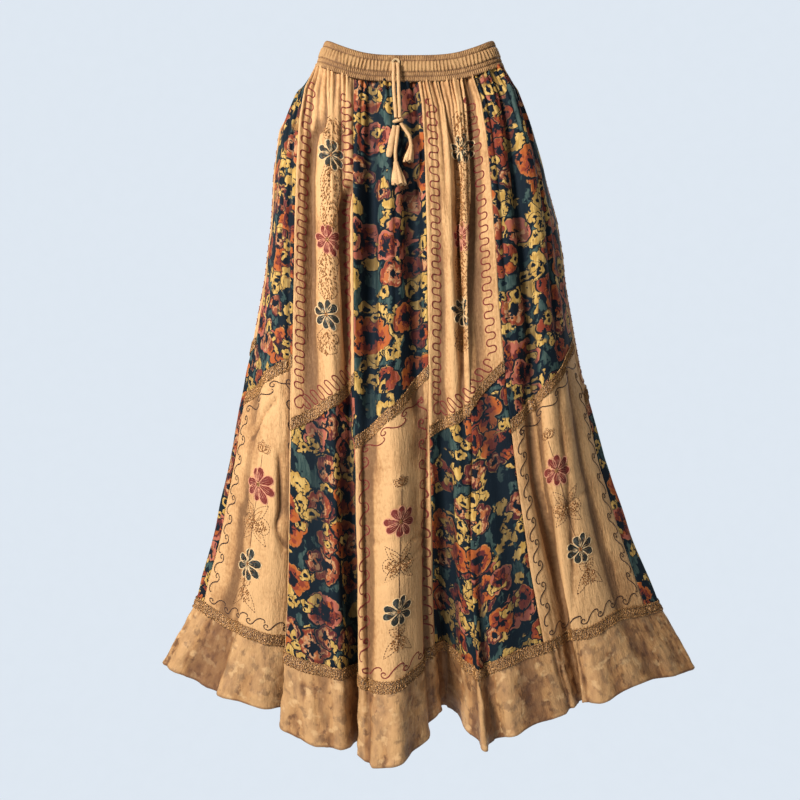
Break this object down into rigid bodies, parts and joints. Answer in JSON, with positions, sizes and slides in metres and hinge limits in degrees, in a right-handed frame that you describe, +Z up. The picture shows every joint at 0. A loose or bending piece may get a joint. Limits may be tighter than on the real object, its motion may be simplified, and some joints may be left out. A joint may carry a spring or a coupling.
{
  "type": "maxi skirt",
  "caption": "Full-length patchwork skirt with a gathered elastic waist, slanted lace joins, a frilled hem and a tasselled drawstring, shown hanging filled out.",
  "frame": {"origin": "centre of the waist, where the skirt is held, level with the band's lower edge at its sides", "axes": "+Z up, from hem to waist; -Y towards the front; +X to the right as seen from the front"},
  "size_m": [0.7927, 0.1801, 0.9589],
  "materials": {
    "tan_cloth": "golden tan crepe with fine creases",
    "print_cloth": "dark crepe printed all over with flowers",
    "frill_cloth": "mottled brown batik crepe",
    "lace": "crinkled gold-beige braid",
    "drawstring": "soft tan cord and cloth",
    "thread": "worked eyelet of thread"
  },
  "bodies": {
    "root": {"waistband": "tan_cloth", "gore_01_upper": "print_cloth", "gore_01_lower": "tan_cloth", "gore_01_lace": "lace", "gore_02_upper": "tan_cloth", "gore_02_lower": "print_cloth", "gore_02_lace": "lace", "gore_03_upper": "print_cloth", "gore_03_lower": "tan_cloth", "gore_03_lace": "lace", "gore_04_upper": "tan_cloth", "gore_04_lower": "print_cloth", "gore_04_lace": "lace", "gore_05_upper": "print_cloth", "gore_05_lower": "tan_cloth", "gore_05_lace": "lace", "gore_06_upper": "tan_cloth", "gore_06_lower": "print_cloth", "gore_06_lace": "lace", "gore_07_upper": "print_cloth", "gore_07_lower": "tan_cloth", "gore_07_lace": "lace", "gore_08_upper": "tan_cloth", "gore_08_lower": "print_cloth", "gore_08_lace": "lace", "gore_09_upper": "print_cloth", "gore_09_lower": "tan_cloth", "gore_09_lace": "lace", "gore_10_upper": "tan_cloth", "gore_10_lower": "print_cloth", "gore_10_lace": "lace", "frill_front": "frill_cloth", "hem_lace_front": "lace", "frill_back": "frill_cloth", "hem_lace_back": "lace", "eyelet": "thread", "drawstring_upper_left": "drawstring", "drawstring_upper_right": "drawstring", "drawstring_knot": "drawstring", "drawstring_lower_middle": "drawstring", "drawstring_lower_right": "drawstring", "drawstring_bow_loop": "drawstring", "tassel_middle": "drawstring", "tassel_right": "drawstring"}
  },
  "joints": []
}
